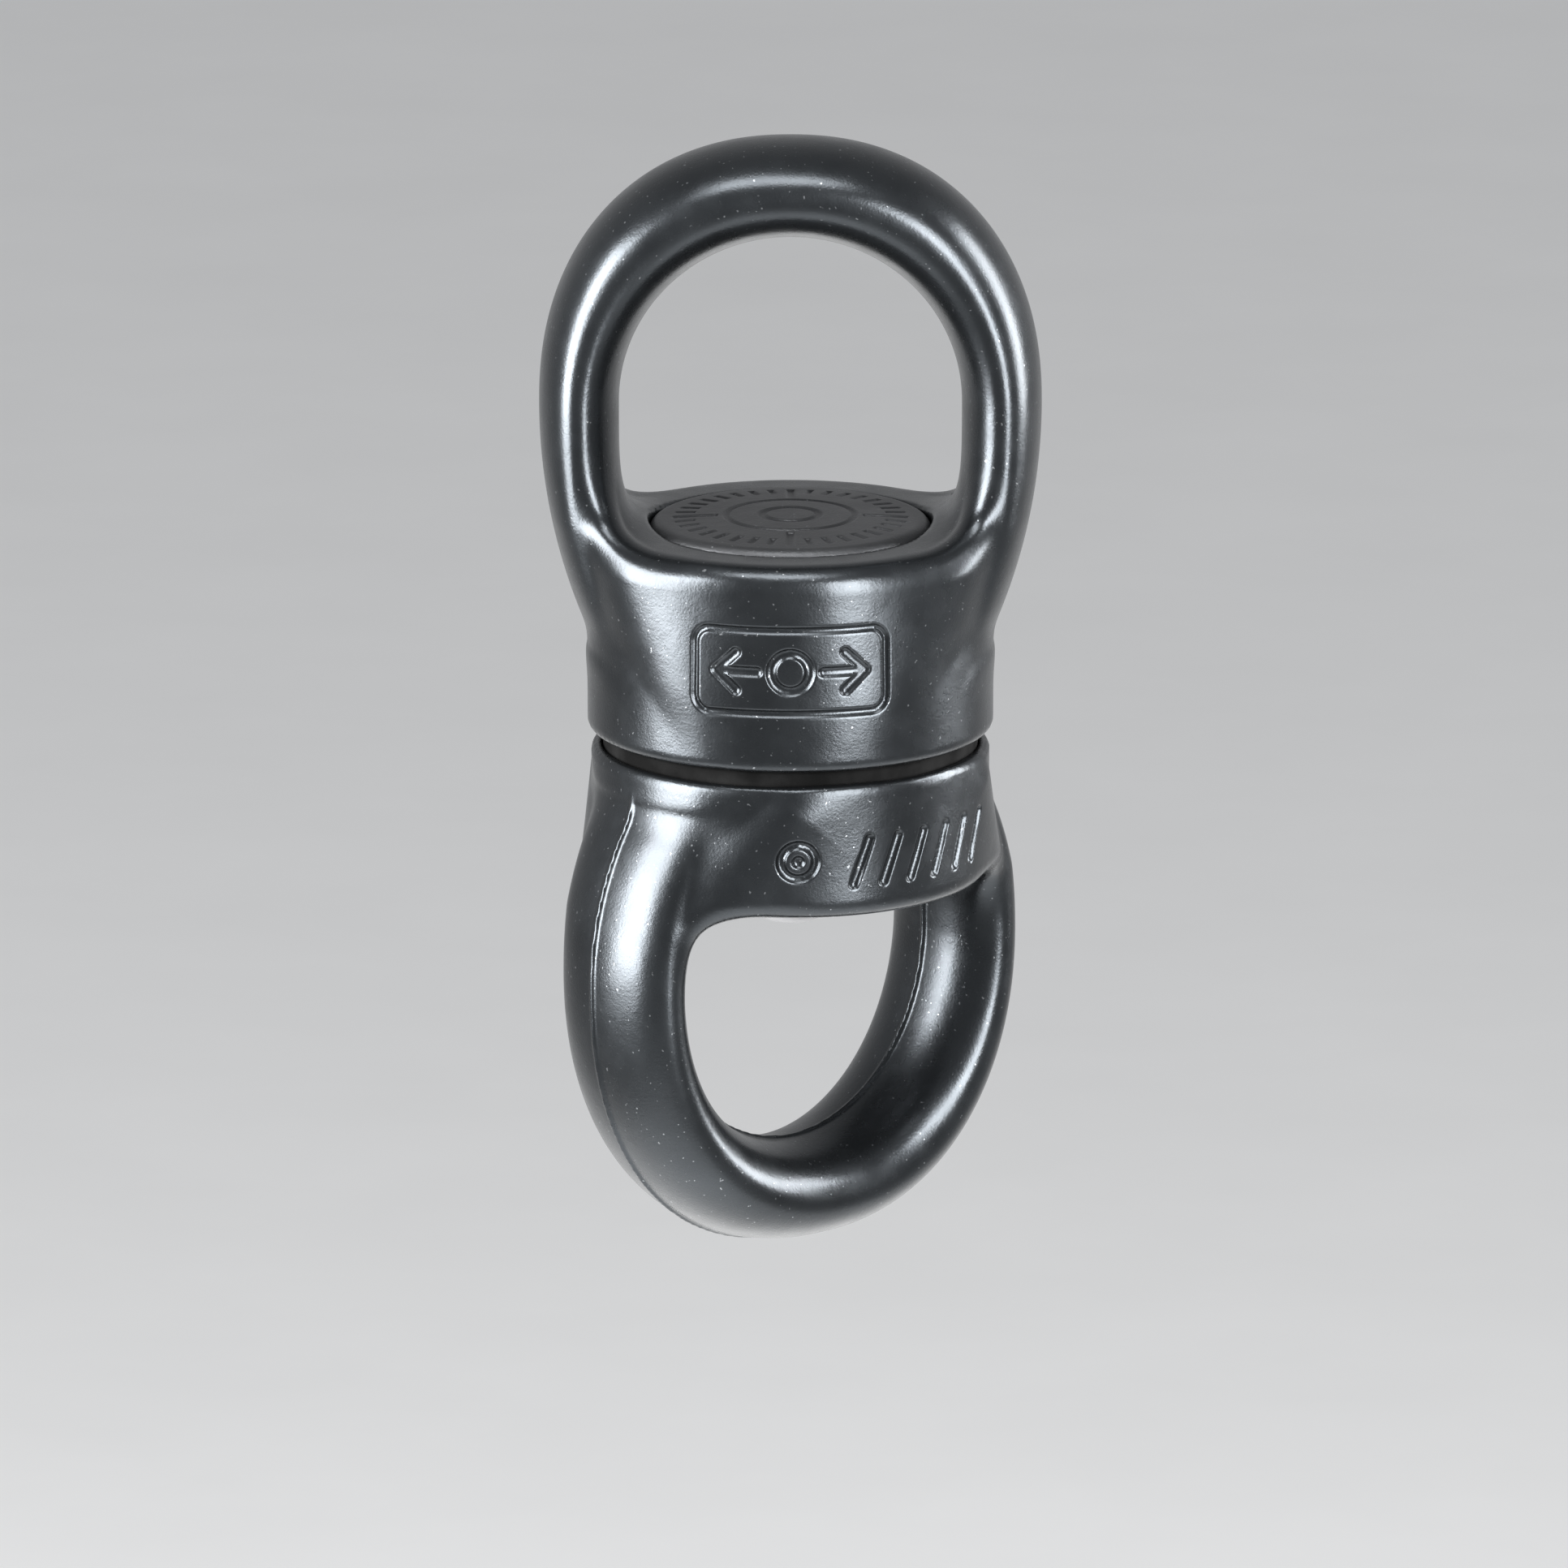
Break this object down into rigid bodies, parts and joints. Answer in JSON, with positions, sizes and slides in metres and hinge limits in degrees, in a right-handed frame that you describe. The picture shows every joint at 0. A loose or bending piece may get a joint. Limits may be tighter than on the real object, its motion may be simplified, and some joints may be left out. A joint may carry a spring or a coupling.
{
  "type": "swivel hoist ring",
  "caption": "Ball-bearing lifting swivel with an upper and a lower forged eye that turn freely on one shared axis.",
  "frame": {"origin": "centre of the whole swivel on its spin axis, midway between the upper crown and the lower foot", "axes": "+Z along the spin axis towards the upper eye, +X across the upper eye, +Y through the upper eye's opening; the lower eye is turned 38 degrees about +Z at rest"},
  "size_m": [0.039, 0.0316, 0.0878],
  "materials": {
    "black_anodised_bow": "satin black anodised, forged",
    "black_anodised_cap": "matt black anodised, bead blasted",
    "bearing_steel": "ground",
    "axle_steel": "dark stainless",
    "ball_steel": "polished",
    "cage_brass": "turned",
    "cage_steel": "pressed sheet",
    "spring_steel": "phosphated",
    "seal_rubber": "matt black"
  },
  "bodies": {
    "housing": {"upper_bow": "black_anodised_bow", "top_cap": "black_anodised_cap", "cap_o_ring": "seal_rubber", "thrust_housing_washer": "bearing_steel", "bearing_outer_race": "bearing_steel", "bearing_upper_shield": "cage_steel", "bearing_lower_shield": "cage_steel", "snap_ring": "spring_steel"},
    "swivel": {"lower_bow": "black_anodised_bow", "axle": "axle_steel", "thrust_shaft_washer": "bearing_steel", "spacer_sleeve": "bearing_steel", "bearing_inner_race": "bearing_steel", "rivet_washer": "axle_steel", "gap_seal": "seal_rubber", "axle_o_ring": "seal_rubber"},
    "thrust_ball_set": {"thrust_cage": "cage_brass", "thrust_balls": "ball_steel"},
    "radial_ball_set": {"bearing_cage_upper": "cage_steel", "bearing_cage_lower": "cage_steel", "bearing_cage_rivets": "cage_steel", "bearing_balls": "ball_steel"}
  },
  "joints": [
    {"name": "swivel_spin", "type": "hinge", "parent": "housing", "child": "swivel", "pos_m": [0, 0, -0.0035], "axis": [0, 0, 1], "continuous": true},
    {"name": "thrust_set_spin", "type": "hinge", "parent": "housing", "child": "thrust_ball_set", "pos_m": [0, 0, 0.0052], "axis": [0, 0, 1], "continuous": true},
    {"name": "radial_set_spin", "type": "hinge", "parent": "housing", "child": "radial_ball_set", "pos_m": [0, 0, -0.0019], "axis": [0, 0, 1], "continuous": true}
  ],
  "couplings": [
    {"joint": "thrust_set_spin", "follows": "swivel_spin", "ratio": 0.5},
    {"joint": "radial_set_spin", "follows": "swivel_spin", "ratio": 0.4092}
  ]
}
